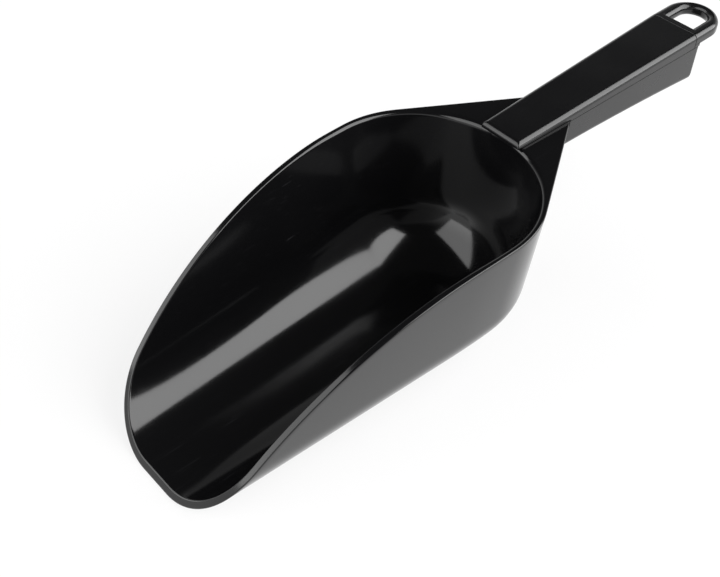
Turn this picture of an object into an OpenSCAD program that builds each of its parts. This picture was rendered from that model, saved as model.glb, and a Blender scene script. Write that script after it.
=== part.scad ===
// Ice scoop: a deep moulded bowl with a flat flange, and a handle of three moulded pieces.
// The mouth points along -Y, the handle along +Y, and the scoop rests on its base at z = 0.
// Sizes are in millimetres. Lengths along Y are counted from the front face of the handle.

/* [Bowl] */
// Width across the rim at its widest
rim_w = 91.6; // [84:0.1:100]
// Depth from the rim down to the flat base
bowl_depth = 66.8; // [62:0.1:72]
// Distance from the handle's front forward to the widest point of the rim
widest_at = 39.3; // [36:0.1:44]
// Length of the rounded rear end, from the widest point backwards
rear_len = 43.5; // [41:0.1:44]
// How much each side closes in towards the mouth, per millimetre of length
side_taper = 0.059; // [0.02:0.001:0.07]
// How much each side closes in downwards, per millimetre of depth
side_draft = 0.106; // [0.02:0.001:0.11]
// How much the rear wall closes in downwards, per millimetre of depth
rear_draft = 0.041; // [0:0.001:0.08]
// Height of the rounding between the walls and the base
edge_h = 26; // [20:0.5:32]
// Width of that rounding at the widest point
edge_wide = 32.6; // [26:0.1:33]
// Width of that rounding at the lip
edge_lip = 24; // [18:0.1:25]
// Width of that rounding at the rear
edge_rear = 27; // [20:0.1:32]
// Thickness of the bowl's walls
wall = 2.5; // [2:0.1:3]
// Thickness of the bowl's floor
floor_t = 3; // [2.4:0.1:3.4]

/* [Mouth] */
// Distance from the handle's front forward to where the mouth curve leaves the rim
mouth_from = 49.3; // [46:0.1:56]
// Radius of the curve that cuts the mouth, seen from the side
mouth_r = 138; // [125:1:150]

/* [Flange] */
// Thickness of the flange and of the tang behind it
flange_t = 3; // [2.4:0.1:3.4]
// Where the flange's straight edges meet the handle
flange_end = 29.6; // [26:0.1:34]
// Length from the handle's front to the tang's rear end
tang_end = 82; // [78:0.5:84]
// Width of the tang
tang_w = 13; // [11:0.5:14]

/* [Handle] */
// Length of the cover
cover_len = 108.5; // [104:0.5:116]
// Width of the handle at its front
front_w = 19.5; // [18.6:0.1:21]
// Width of the handle at its rear
rear_w = 24; // [23:0.1:26]
// Height of the cover over the rim at its front
front_h = 2.7; // [2.6:0.1:3.4]
// Height of the cover over the rim at its rear
rear_h = 5.3; // [5:0.1:6]
// Radius of the cover's top edges
cover_r = 2.3; // [1:0.1:2.3]
// Distance from the rim plane down to the line where cover and grip meet
part_line = 0.8; // [0.6:0.1:1.2]
// Depth of the grip below the rim plane at its front
grip_front = 13.2; // [12:0.1:15]
// Extra depth of the grip at its rear
grip_drop = 5; // [3:0.1:6]
// Radius of the grip's lower edges
grip_r = 3.2; // [2:0.1:4]
// Thickness of the grip's walls
grip_wall = 2.2; // [1.8:0.1:2.4]

/* [Hang loop] */
// Length of the loop behind the cover
loop_len = 23.8; // [22:0.1:28]
// Length of the hang hole along the handle
hole_len = 16.3; // [15:0.1:16.8]
// Width of the hang hole
hole_w = 12.2; // [11:0.1:13.4]

/* [Pegs] */
// Diameter of the cover's pegs
peg_d = 4; // [3:0.1:4.4]
// Places of the three pegs behind the handle's front
peg_at = [46, 70, 95];

/* [Hidden] */

// Steps along the straight side, round the rear end, down the wall and round the edge
side_steps = 12;
rear_steps = 14;
wall_steps = 10;
edge_steps = 10;
half_steps = side_steps + rear_steps;
outline_steps = 2 * half_steps;
level_steps = wall_steps + edge_steps;

// Where the lip ends, and the shift that puts the middle of the whole length at y = 0
lip_at = -mouth_from - sqrt(pow(mouth_r, 2) - pow(mouth_r - bowl_depth, 2));
tip_at = cover_len + loop_len;
middle_y = (lip_at + tip_at) / 2;

// Gap between faces that slide together, and an overlap that keeps cuts clean
gap = 0.15;
lap = 0.5;

// Where the tang leaves the flange
tang_from = 6;

// The loop's tongue: thickness, front end and width
tongue_t = 2.8;
tongue_from = tang_end + 4;
tongue_w = 15;

// Thickness of the loop's ring at its tip
loop_tip_t = 3.8;

// Bosses for the pegs: the first two stop at the tang, the rear one at the tongue
boss_d = 8;
boss_top = [-flange_t, -flange_t, 0];

// Depth of the bores, how far a peg reaches into one, and the clearance round it
bore_deep = 8;
peg_deep = 7.5;
peg_fit = 0.05;

// How far each peg is rooted above the rim plane, inside the cover
peg_root = [lap, lap, tongue_t + gap + lap];

// Smallest radius of the corners at the cover's nose
nose_r = 0.2;

// Round saddle in the grip's front, which clears the bowl's rear wall
saddle_r = rear_len + 1.7;
saddle_y = -widest_at - 1.3;

// Where the grip and its hollow start, its end wall, and the radius of the heel below that wall
grip_from = 2;
front_wall_to = 8;
end_wall_from = cover_len + 1.2;
end_wall_to = cover_len + 3.8;
end_r = 1.6;

// ---- Bowl ----

// A wall surface: [half width, rear length, depth, rounding's height, widths at widest, lip, rear]
outer_wall = [rim_w / 2, rear_len, bowl_depth, edge_h, edge_wide, edge_lip, edge_rear];
inner_wall = [rim_w / 2 - wall, rear_len - wall, bowl_depth - floor_t, edge_h - wall,
    edge_wide - wall, edge_lip - wall, edge_rear - wall];

// Place along Y where the mouth curve cuts at a depth below the rim
function mouth_y(t) = -mouth_from - sqrt(pow(mouth_r, 2) - pow(mouth_r - t, 2));

// Turn round the edge at a level, from 0 on the wall to 90 degrees at the base
function level_turn(j) = max(0, 90 * (j - wall_steps) / edge_steps);

// Depth of a level below the rim; on the wall, levels are even steps along the mouth curve
function level_depth(s, j) = j < wall_steps
    ? mouth_r * (1 - cos(acos(1 - (s[2] - s[3]) / mouth_r) * j / wall_steps))
    : s[2] - s[3] + s[3] * sin(level_turn(j));

// Width of the bottom rounding at a place along the side
function edge_width(s, y) = s[4] + (s[5] - s[4]) * max(0, -widest_at - y) / (-widest_at - lip_at);

// Half width of the bowl at a place, a depth and a turn round the edge
function half_width(s, y, t, turn) = s[0] - side_taper * max(0, -widest_at - y)
    - side_draft * t - edge_width(s, y) * (1 - cos(turn));

// One point of the right half of a level's outline, from the mouth to the middle of the rear
function half_point(s, t, turn, k) = k <= side_steps
    ? let (y = mouth_y(t) + (-widest_at - mouth_y(t)) * k / side_steps)
        [half_width(s, y, t, turn), y, -t]
    : let (a = 90 * (k - side_steps) / rear_steps)
        let (across = half_width(s, -widest_at, t, turn))
        let (back = s[1] - rear_draft * t - s[6] * (1 - cos(turn)))
        [across * cos(a), -widest_at + back * sin(a), -t];

// A point of the whole outline; past the middle it is the mirrored half
function wall_point(s, j, i) =
    let (k = i <= half_steps ? i : outline_steps - i)
    let (p = half_point(s, level_depth(s, j), level_turn(j), k))
    i <= half_steps ? p : [-p[0], p[1], p[2]];

// Place of a point in the list: side is 0 for the outer wall and 1 for the inner wall
function at(side, j, i) = (side * (level_steps + 1) + j) * (outline_steps + 1) + i;

// The bowl as one closed skin: outer wall, inner wall, rim, the two mouth edges, base and floor
module bowl_skin() {
    points = [
        for (s = [outer_wall, inner_wall])
            for (j = [0:level_steps])
                for (i = [0:outline_steps]) wall_point(s, j, i)
    ];
    top = level_steps;
    across = outline_steps;
    faces = concat(
        [for (j = [0:top - 1]) for (i = [0:across - 1])
            [at(0, j, i), at(0, j, i + 1), at(0, j + 1, i + 1), at(0, j + 1, i)]],
        [for (j = [0:top - 1]) for (i = [0:across - 1])
            [at(1, j, i), at(1, j + 1, i), at(1, j + 1, i + 1), at(1, j, i + 1)]],
        [for (i = [0:across - 1])
            [at(0, 0, i), at(1, 0, i), at(1, 0, i + 1), at(0, 0, i + 1)]],
        [for (j = [0:top - 1])
            [at(0, j, 0), at(0, j + 1, 0), at(1, j + 1, 0), at(1, j, 0)]],
        [for (j = [0:top - 1])
            [at(0, j, across), at(1, j, across), at(1, j + 1, across), at(0, j + 1, across)]],
        [for (i = [0:half_steps - 2])
            [at(0, top, i), at(0, top, i + 1), at(0, top, across - i - 1), at(0, top, across - i)]],
        [[at(0, top, half_steps - 1), at(0, top, half_steps), at(0, top, half_steps + 1)]],
        [for (i = [0:half_steps - 2])
            [at(1, top, i), at(1, top, across - i), at(1, top, across - i - 1), at(1, top, i + 1)]],
        [[at(1, top, half_steps - 1), at(1, top, half_steps + 1), at(1, top, half_steps)]],
        [[at(0, top, 0), at(0, top, across), at(1, top, across), at(1, top, 0)]]
    );
    polyhedron(points = points, faces = faces, convexity = 6);
}

// A point on the rim's rear end, pulled in from the outer edge by a distance
function rim_point(a, in) = [(rim_w / 2 - in) * cos(a), -widest_at + (rear_len - in) * sin(a)];

// The angle at which a straight line from the handle's side just touches the rim
touch_angle = let (px = handle_half(flange_end) / (rim_w / 2))
    let (py = (flange_end + widest_at) / rear_len)
    atan2(py, px) - acos(1 / norm([px, py]));

// Flat flange, level with the rim, and the tang that reaches into the handle
module flange() {
    steps = 24;
    start = touch_angle;
    arc = [for (k = [0:steps]) rim_point(start + (180 - 2 * start) * k / steps, wall / 2)];
    corner = handle_half(flange_end);
    outline = concat(
        [[corner, flange_end], rim_point(start, 0)],
        arc,
        [rim_point(180 - start, 0), [-corner, flange_end]]
    );
    translate([0, 0, -flange_t]) linear_extrude(height = flange_t) difference() {
        union() {
            polygon(outline);
            translate([-tang_w / 2, tang_from]) square([tang_w, tang_end - tang_from]);
        }
        for (y = [peg_at[0], peg_at[1]]) translate([0, y]) circle(d = peg_d + 2 * gap, $fn = 48);
    }
}

module bowl() {
    color("#17181a") in_place() {
        bowl_skin();
        flange();
    }
}

// ---- Handle ----

// Half width of the handle at a place behind its front
function handle_half(y) = (front_w + (rear_w - front_w) * y / cover_len) / 2;

// Height of the cover's top over the rim plane
function cover_top(y) = front_h + (rear_h - front_h) * y / cover_len;

// Depth of the grip below the rim plane: it deepens towards the rear
function grip_depth(y) = grip_front + grip_drop * pow(y / end_wall_to, 2);

// A solid through a row of rings that all have the same number of points
module skin(rings) {
    n = len(rings[0]);
    last = len(rings) - 1;
    sides = [for (k = [0:last - 1]) for (i = [0:n - 1])
        [k * n + i, k * n + (i + 1) % n, (k + 1) * n + (i + 1) % n, (k + 1) * n + i]];
    front = [for (i = [0:n - 1]) n - 1 - i];
    back = [for (i = [0:n - 1]) last * n + i];
    points = [for (r = rings) for (p = r) p];
    polyhedron(points = points, faces = concat(sides, [front, back]), convexity = 4);
}

// A ring across the handle with two rounded corners; up is 1 for a round top, -1 for a round bottom
function ring(y, half, flat, round, r, up) =
    let (steps = 6)
    let (right = [for (k = [0:steps]) let (a = 90 * k / steps)
        [half - r + r * cos(a), round + up * (r * sin(a) - r)]])
    let (left = [for (k = [steps:-1:0]) [-right[k][0], right[k][1]]])
    let (loop = concat([[-half, flat], [half, flat]], right, left))
    let (turned = up > 0 ? loop : [for (k = [len(loop) - 1:-1:0]) loop[k]])
    [for (p = turned) [p[0], y, p[1]]];

// Plan of the handle between two places, pulled in at the sides
module handle_plan(from, to, in) {
    polygon([
        [handle_half(from) - in, from],
        [handle_half(to) - in, to],
        [-handle_half(to) + in, to],
        [-handle_half(from) + in, from]
    ]);
}

// Side rims under the cover, which meet the grip at the parting line
module cover_skirt() {
    from = flange_end + gap;
    translate([0, 0, -part_line]) linear_extrude(height = part_line + lap) difference() {
        handle_plan(from, cover_len, 0);
        handle_plan(from - lap, cover_len + lap, grip_wall);
    }
}

// Filleted cover with side rims, a pocket for the loop's tongue, and three pegs
module handle_cover() {
    nose = [for (a = [0:15:75])
        let (y = cover_r * (1 - cos(a)))
        let (top = cover_top(y) - cover_r * (1 - sin(a)))
        ring(y, handle_half(y), 0, top, max(nose_r, cover_r * sin(a)), 1)];
    rest = [for (y = [cover_r, cover_len / 2, cover_len])
        ring(y, handle_half(y), 0, cover_top(y), cover_r, 1)];
    color("#1b1c1e") in_place() {
        difference() {
            union() {
                skin(concat(nose, rest));
                cover_skirt();
            }
            translate([-tongue_w / 2 - gap, tongue_from - gap, -lap])
                cube([tongue_w + 2 * gap, cover_len, tongue_t + lap + gap]);
        }
        for (k = [0:2]) translate([0, peg_at[k], boss_top[k] - peg_deep])
            cylinder(h = peg_deep - boss_top[k] + peg_root[k], d = peg_d, $fn = 48);
    }
}

// Hollow grip with a closed front and end wall, and three bosses that take the pegs
module grip_shell() {
    long = [for (y = [grip_from, 12, 24, 36, 48, 60, 72, 84, 96, end_wall_to - end_r])
        ring(y, handle_half(y), -part_line, -grip_depth(y), grip_r, -1)];
    heel = [for (a = [30:30:90])
        let (y = end_wall_to - end_r * (1 - sin(a)))
        ring(y, handle_half(y), -part_line, -grip_depth(y) + end_r * (1 - cos(a)), grip_r, -1)];
    hollow = [for (y = [front_wall_to, 24, 36, 48, 60, 72, 84, 96, end_wall_from])
        ring(y, handle_half(y) - grip_wall, lap, -grip_depth(y) + grip_wall, grip_r - 1, -1)];
    color("#202124") in_place() difference() {
        union() {
            difference() {
                skin(concat(long, heel));
                skin(hollow);
                translate([-rear_w, 0, -flange_t])
                    cube([2 * rear_w, flange_end + gap, flange_t]);
                translate([0, saddle_y, -2 * grip_front])
                    cylinder(h = 3 * grip_front, r = saddle_r, $fn = 128);
            }
            for (k = [0:2]) translate([0, peg_at[k], -grip_depth(peg_at[k]) + lap])
                cylinder(h = boss_top[k] + grip_depth(peg_at[k]) - lap, d = boss_d, $fn = 64);
        }
        for (k = [0:2]) translate([0, peg_at[k], boss_top[k] - bore_deep])
            cylinder(h = bore_deep + lap, d = peg_d + 2 * peg_fit, $fn = 48);
    }
}

// Flat loop with a D-shaped hang hole, a foot on the grip's end wall and a tongue under the cover
module hang_loop() {
    from = cover_len + gap;
    round_at = tip_at - rear_w / 2;
    hole_tip = tip_at - loop_tip_t;
    color("#1b1c1e") in_place() {
        linear_extrude(height = rear_h) difference() {
            union() {
                translate([-rear_w / 2, from]) square([rear_w, round_at - from]);
                translate([0, round_at]) circle(d = rear_w, $fn = 96);
            }
            translate([0, hole_tip - hole_w / 2]) circle(d = hole_w, $fn = 96);
            translate([-hole_w / 2, hole_tip - hole_len]) square([hole_w, hole_len - hole_w / 2]);
        }
        translate([-rear_w / 2, from, -part_line])
            cube([rear_w, end_wall_to - from, part_line + lap]);
        linear_extrude(height = tongue_t) difference() {
            translate([-tongue_w / 2, tongue_from]) square([tongue_w, from + lap - tongue_from]);
            translate([0, peg_at[2]]) circle(d = peg_d + 2 * gap, $fn = 48);
        }
    }
}

// Moves a piece from the handle's coordinates to the part's frame
module in_place() {
    translate([0, -middle_y, bowl_depth]) children();
}

bowl();
grip_shell();
handle_cover();
hang_loop();
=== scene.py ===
"""Ice scoop: a deep moulded bowl with a flat flange, and a handle of three moulded pieces.

Lengths are in metres, in the shared frame: the base rests on z = 0, the mouth points along -Y
and the handle along +Y. The rim lies in one plane, RIM_Z above the base.
"""

from math import acos, atan2, cos, hypot, pi, radians, sin, sqrt

import bmesh
import bpy
from mathutils import Matrix, Vector


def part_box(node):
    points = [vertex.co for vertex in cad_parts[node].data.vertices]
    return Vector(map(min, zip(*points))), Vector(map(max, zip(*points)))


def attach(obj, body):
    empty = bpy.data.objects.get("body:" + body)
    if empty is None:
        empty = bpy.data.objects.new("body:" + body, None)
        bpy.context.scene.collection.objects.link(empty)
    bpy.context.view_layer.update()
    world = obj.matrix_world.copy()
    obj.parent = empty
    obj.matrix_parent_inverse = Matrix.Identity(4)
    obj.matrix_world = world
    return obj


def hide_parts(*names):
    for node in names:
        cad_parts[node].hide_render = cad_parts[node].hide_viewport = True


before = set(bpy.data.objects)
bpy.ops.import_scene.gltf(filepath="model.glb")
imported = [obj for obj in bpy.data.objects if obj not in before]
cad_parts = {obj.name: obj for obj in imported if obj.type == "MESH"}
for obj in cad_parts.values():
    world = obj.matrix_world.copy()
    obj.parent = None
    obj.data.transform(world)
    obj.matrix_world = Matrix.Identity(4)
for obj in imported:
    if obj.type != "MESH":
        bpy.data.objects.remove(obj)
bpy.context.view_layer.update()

bl_info = {
    "name": "Ice scoop",
    "version": (1, 0, 0),
    "blender": (4, 5, 0),
    "location": "View3D > Sidebar > Scoop",
    "description": "Builds an ice scoop's visual model around its CAD frame",
    "category": "Add Mesh",
}

MM = 0.001

# Points closer than this are one point
MERGE = 0.002 * MM

# The rim's plane and the front face of the handle, from the frame
RIM_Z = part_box("bowl")[1].z
FRONT_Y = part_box("handle_cover")[0].y


# ---- Helpers ----


def linear(code):
    """An sRGB hex colour as linear RGBA."""
    channels = [int(code[i : i + 2], 16) / 255 for i in (1, 3, 5)]
    return [c / 12.92 if c <= 0.04045 else ((c + 0.055) / 1.055) ** 2.4 for c in channels] + [1.0]


def add_node(tree, kind, inputs=None, **settings):
    """Adds one node with its settings; inputs maps a socket to a value or to another node's output."""
    node = tree.nodes.new(kind)
    for key, value in settings.items():
        setattr(node, key, value)
    for socket, value in (inputs or {}).items():
        if isinstance(value, bpy.types.NodeSocket):
            tree.links.new(value, node.inputs[socket])
        else:
            node.inputs[socket].default_value = value
    return node


def place(x, y, z):
    """A point given from the handle's front face and the rim's plane, in the shared frame."""
    return Vector((x, y + FRONT_Y, z + RIM_Z))


def clear_nodes(owner):
    """The empty node tree of a new material or world."""
    owner.use_nodes = True
    owner.node_tree.nodes.clear()
    return owner.node_tree


def start_tree(name, inputs):
    """A Geometry Nodes tree with its named inputs, and the outputs of its input node."""
    tree = bpy.data.node_groups.new(name, "GeometryNodeTree")
    tree.interface.new_socket(name="Geometry", in_out="INPUT", socket_type="NodeSocketGeometry")
    for key in inputs:
        tree.interface.new_socket(name=key, in_out="INPUT", socket_type="NodeSocketFloat")
    tree.interface.new_socket(name="Geometry", in_out="OUTPUT", socket_type="NodeSocketGeometry")
    return tree, add_node(tree, "NodeGroupInput").outputs


def end_tree(tree, shape, material):
    """Ends a Geometry Nodes tree: real instances, and their material."""
    real = add_node(tree, "GeometryNodeRealizeInstances", {"Geometry": shape})
    painted = add_node(tree, "GeometryNodeSetMaterial", {"Geometry": real.outputs[0], "Material": material})
    add_node(tree, "NodeGroupOutput", {"Geometry": painted.outputs[0]})
    return tree


def run_tree(name, mesh, tree, values):
    """A plain object that a tree makes from a mesh; values holds the tree's inputs by their names."""
    obj = add_object(name, mesh)
    modifier = obj.modifiers.new(name, "NODES")
    modifier.node_group = tree
    for item in tree.interface.items_tree:
        if item.in_out == "INPUT" and item.name in values:
            modifier[item.identifier] = values[item.name]
    apply_modifiers(obj)
    tidy_mesh(obj.data)
    return obj


def add_object(name, data):
    """A new object in the scene."""
    obj = bpy.data.objects.new(name, data)
    bpy.context.scene.collection.objects.link(obj)
    return obj


def mesh_object(name, points, faces):
    """A new object from points in the shared frame, with doubles merged and faces outwards."""
    mesh = bpy.data.meshes.new(name)
    mesh.from_pydata([tuple(p) for p in points], [], faces)
    tidy_mesh(mesh)
    return add_object(name, mesh)


def ring_faces(rings, count, closed=False):
    """The faces between rings of points; closed joins the last ring to the first."""
    return [
        (j * count + i, j * count + (i + 1) % count, k * count + (i + 1) % count, k * count + i)
        for j, k in zip(range(rings if closed else rings - 1), [*range(1, rings), 0])
        for i in range(count)
    ]


def tidy_mesh(mesh):
    """Merges doubles, drops faces with no area and turns every face outwards."""
    shape = bmesh.new()
    shape.from_mesh(mesh)
    bmesh.ops.remove_doubles(shape, verts=shape.verts, dist=MERGE)
    bmesh.ops.dissolve_degenerate(shape, edges=shape.edges, dist=MERGE)
    bmesh.ops.recalc_face_normals(shape, faces=shape.faces)
    for face in shape.faces:
        face.smooth = True
    shape.to_mesh(mesh)
    shape.free()


def apply_modifiers(obj):
    """Turns the evaluated object into its plain mesh and takes the modifiers off."""
    graph = bpy.context.evaluated_depsgraph_get()
    graph.update()
    mesh = bpy.data.meshes.new_from_object(obj.evaluated_get(graph), depsgraph=graph)
    obj.modifiers.clear()
    obj.data = mesh
    mesh.name = obj.name
    return obj


def finish_piece(obj, material, slot, *nodes):
    """Gives a finished piece its plastic and ties it to the frame."""
    obj.data.materials.clear()
    obj.data.materials.append(material)
    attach(obj, "root")
    if nodes:
        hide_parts(*nodes)


# ---- Sizes and colours ----


def length(name, description, millimetres):
    """A length property with its default in millimetres."""
    return bpy.props.FloatProperty(
        name=name,
        description=description,
        default=millimetres * MM,
        min=0.0,
        subtype="DISTANCE",
        unit="LENGTH",
        precision=5,
    )


def share(name, description, default):
    """A property without a unit."""
    return bpy.props.FloatProperty(name=name, description=description, default=default, precision=4)


def colour(name, description, code):
    """A colour property with its default as an sRGB hex code."""
    return bpy.props.FloatVectorProperty(
        name=name, description=description, size=4, min=0.0, max=1.0, subtype="COLOR", default=linear(code)
    )


class ScoopBowlSizes(bpy.types.PropertyGroup):
    """Sizes of the bowl and its flange."""

    half_width: length("Half width", "Half the rim's width at its widest", 45.8)
    depth: length("Depth", "From the rim down to the base", 66.8)
    widest_at: length("Widest at", "From the handle's front forward to the rim's widest point", 39.3)
    rear_length: length("Rear length", "From the widest point back to the rear end", 43.5)
    mouth_from: length("Mouth from", "From the handle's front forward to where the mouth starts", 49.3)
    mouth_radius: length("Mouth radius", "Radius of the mouth's cut, seen from the side", 138)
    edge_height: length("Edge height", "Height of the rounding over the base", 26)
    edge_widest: length("Edge width", "Width of that rounding at the widest point", 32.6)
    edge_lip: length("Edge width at lip", "Width of that rounding at the lip", 24)
    edge_rear: length("Edge width at rear", "Width of that rounding at the rear", 27)
    wall: length("Wall", "Thickness of the walls", 2.5)
    floor: length("Floor", "Thickness of the floor", 3)
    blend: length("Taper blend", "Length over which the sides start to close in", 20)
    side_taper: share("Side taper", "How much each side closes in towards the mouth, per length", 0.064)
    side_draft: share("Side draft", "How much each side closes in downwards, per depth", 0.106)
    rear_draft: share("Rear draft", "How much the rear closes in downwards, per depth", 0.041)
    outer_round: length("Outer rounding", "Radius of the rim's outer edge", 0.6)
    inner_round: length("Inner rounding", "Radius of the rim's inner edge at the flange", 2.2)
    side_round: length("Side rounding", "Radius of the rim's inner edge at the sides", 1.5)
    mouth_round: length("Mouth rounding", "Radius of the inner edge along the mouth", 0.45)
    flange: length("Flange", "Thickness of the flange", 3)
    flange_end: length("Flange end", "Where the flange meets the handle's sides", 29.6)
    flange_round: length("Flange rounding", "Radius of the flange's lower edge", 0.7)
    flange_fillet: length("Flange fillet", "Radius between the flange's underside and the wall", 1.5)
    tang_width: length("Tang width", "Width of the tang in the handle", 13)
    tang_end: length("Tang end", "From the handle's front to the tang's end", 82)


class ScoopHandleSizes(bpy.types.PropertyGroup):
    """Sizes of the grip, the cover and the hang loop."""

    cover_length: length("Cover length", "Length of the cover", 108.5)
    front_width: length("Front width", "Width of the handle at its front", 19.5)
    rear_width: length("Rear width", "Width of the handle at its rear", 24)
    front_height: length("Front height", "Height of the cover over the rim at its front", 2.7)
    rear_height: length("Rear height", "Height of the cover over the rim at its rear", 5.3)
    cover_round: length("Cover rounding", "Radius of the cover's top edges", 2.3)
    corner_round: length("Corner rounding", "Radius of the cover's upright front corners", 0.7)
    seam_round: length("Seam rounding", "Radius of the edges along a seam", 0.35)
    seam_gap: length("Seam gap", "Width of the seam between the cover and the loop", 0.4)
    part_line: length("Parting line", "From the rim's plane down to the seam of cover and grip", 0.8)
    grip_front: length("Grip depth", "Depth of the grip at its front", 13.2)
    grip_drop: length("Grip drop", "Extra depth of the grip at its rear", 5)
    grip_round: length("Grip rounding", "Radius of the grip's lower edges", 3.2)
    grip_wall: length("Grip wall", "Thickness of the grip's walls", 2.2)
    end_wall: length("End wall", "From the handle's front to the grip's rear face", 112.3)
    end_round: length("End rounding", "Radius round the grip's rear face", 1.6)
    loop_length: length("Loop length", "Length of the loop behind the cover", 23.8)
    hole_length: length("Hole length", "Length of the hang hole", 16.3)
    hole_width: length("Hole width", "Width of the hang hole", 12.2)
    loop_tip: length("Loop tip", "Thickness of the ring at its tip", 3.8)
    hole_round: length("Hole rounding", "Radius of the hang hole's edges", 2.3)
    hole_front_round: length("Hole front rounding", "Radius of the hang hole's front edge", 0.5)
    tongue: length("Tongue", "Height of the tongue's top over the rim", 2.8)
    tongue_from: length("Tongue from", "From the handle's front to the tongue's front end", 86)
    tongue_width: length("Tongue width", "Width of the tongue under the cover", 15)
    peg: length("Peg", "Diameter of the cover's pegs", 4)
    boss: length("Boss", "Diameter of the grip's bosses", 8)


class ScoopFinish(bpy.types.PropertyGroup):
    """Colours of the four plastics and of the floor."""

    bowl: colour("Bowl", "Glossy black polycarbonate", "#0c0c0d")
    grip: colour("Grip", "Semi-gloss black ABS", "#0f0f10")
    cover: colour("Cover", "Satin black ABS", "#0c0c0d")
    loop: colour("Loop", "Semi-gloss black ABS", "#0f0f10")
    floor: colour("Floor", "Matt grey floor, lit from below", "#707070")
    floor_glow: share("Floor glow", "How brightly the floor is lit from below", 0.8)


# ---- Plastics ----

# All four plastics have this index of refraction
PLASTIC_IOR = 1.5

# Size of the patches that handling leaves, and how much rougher a rub is than the plastic round it
PATCH = 34 * MM
RUB_ROUGHER = 0.12

# Hairline rubs are a noise drawn out along the scoop: its cells across it, along it and up it
RUB_CELLS = (0.5 * MM, 24 * MM, 0.7 * MM)

# Height of the faint waves that cooling leaves in the wall
WAVE_DEPTH = 0.02 * MM


def plastic(name, base, worn, roughness, spread, grain, grain_depth, flow):
    """A moulded black plastic.

    base and worn are the colours of sound and rubbed plastic, roughness and spread the middle and
    the range of the gloss, grain the size and grain_depth the height of the mould's texture, and
    flow the size of the faint waves that cooling leaves in the wall.
    """
    material = bpy.data.materials.new(name)
    tree = clear_nodes(material)
    coords = add_node(tree, "ShaderNodeTexCoord").outputs["Object"]
    grain_noise = add_node(
        tree, "ShaderNodeTexNoise", {"Vector": coords, "Scale": 1 / grain, "Detail": 3.0, "Roughness": 0.55}
    )
    handling = add_node(
        tree, "ShaderNodeTexNoise", {"Vector": coords, "Scale": 1 / PATCH, "Detail": 5.0, "Roughness": 0.6}
    )
    waves = add_node(tree, "ShaderNodeTexNoise", {"Vector": coords, "Scale": 1 / flow, "Detail": 0.0})
    cells = [1 / cell for cell in RUB_CELLS]
    drawn_out = add_node(tree, "ShaderNodeMapping", {"Vector": coords, "Scale": cells})
    rubs = add_node(
        tree, "ShaderNodeTexNoise", {"Vector": drawn_out.outputs[0], "Scale": 1.0, "Detail": 2.0}
    )
    rub_lines = add_node(
        tree, "ShaderNodeMapRange", {"Value": rubs.outputs["Fac"], "From Min": 0.66, "From Max": 0.78}
    )
    wear = add_node(
        tree, "ShaderNodeMapRange", {"Value": handling.outputs["Fac"], "From Min": 0.42, "From Max": 0.68}
    )
    rubbed = add_node(
        tree,
        "ShaderNodeMath",
        {0: rub_lines.outputs[0], 1: wear.outputs[0]},
        operation="MULTIPLY",
        use_clamp=True,
    )
    tone = add_node(
        tree, "ShaderNodeMix", {"Factor": rubbed.outputs[0], "A": base, "B": worn}, data_type="RGBA"
    )
    span = {"From Min": 0.3, "From Max": 0.7, "To Min": roughness - spread, "To Max": roughness + spread}
    gloss = add_node(tree, "ShaderNodeMapRange", {"Value": handling.outputs["Fac"], **span})
    gloss_rubbed = add_node(
        tree,
        "ShaderNodeMath",
        {0: rubbed.outputs[0], 1: RUB_ROUGHER, 2: gloss.outputs[0]},
        operation="MULTIPLY_ADD",
    )
    wavy = add_node(
        tree, "ShaderNodeBump", {"Height": waves.outputs["Fac"], "Strength": 0.15, "Distance": WAVE_DEPTH}
    )
    relief = {"Height": grain_noise.outputs["Fac"], "Strength": 0.5, "Distance": grain_depth}
    grained = add_node(tree, "ShaderNodeBump", {**relief, "Normal": wavy.outputs[0]})
    shader = add_node(
        tree,
        "ShaderNodeBsdfPrincipled",
        {
            "Base Color": tone.outputs["Result"],
            "Roughness": gloss_rubbed.outputs[0],
            "IOR": PLASTIC_IOR,
            "Normal": grained.outputs[0],
        },
    )
    add_node(tree, "ShaderNodeOutputMaterial", {"Surface": shader.outputs[0]})
    return material


def bowl_plastic(finish):
    """Black polycarbonate from a polished mould: deep, crisp reflections and fine rubs from ice."""
    return plastic(
        "moulded_polycarbonate", list(finish.bowl), linear("#2a2a2c"), roughness=0.12, spread=0.03,
        grain=0.9 * MM, grain_depth=0.004 * MM, flow=30 * MM,
    )


def grip_plastic(finish):
    """Black ABS from a plain mould: a soft gloss that spreads reflections."""
    return plastic(
        "moulded_abs_grip", list(finish.grip), linear("#262628"), roughness=0.28, spread=0.05,
        grain=0.5 * MM, grain_depth=0.006 * MM, flow=22 * MM,
    )


def cover_plastic(finish):
    """Black ABS from a spark-eroded mould: a fine satin grain that keeps the top dark and even."""
    return plastic(
        "satin_abs_cover", list(finish.cover), linear("#242426"), roughness=0.22, spread=0.03,
        grain=0.32 * MM, grain_depth=0.006 * MM, flow=22 * MM,
    )


def loop_plastic(finish):
    """Black ABS from a plain mould, rubbed glossy by hooks."""
    return plastic(
        "moulded_abs_loop", list(finish.loop), linear("#262628"), roughness=0.19, spread=0.04,
        grain=0.5 * MM, grain_depth=0.006 * MM, flow=20 * MM,
    )


# ---- Bowl ----

# Lengths of the rounding's arc and of half the flat base, as laid out flat
ARC = 42 * MM
FLAT = 6.6 * MM

# How far behind the lip the ribs of the front meet
POLE = 16 * MM

# How far in front of the handle the inner edge starts to grow from the mouth's radius to the sides'
ROUND_FROM = 82 * MM

# How wide the flange is where the inner edge has grown to its full radius
ROUND_WITHIN = 4 * MM

# Room between a rounding and the next ring: on the skins, and on the rim at its outer and inner edge
SKIN_STEP = 0.5 * MM
OUTER_STEP = 0.15 * MM
INNER_STEP = 0.1 * MM

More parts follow.
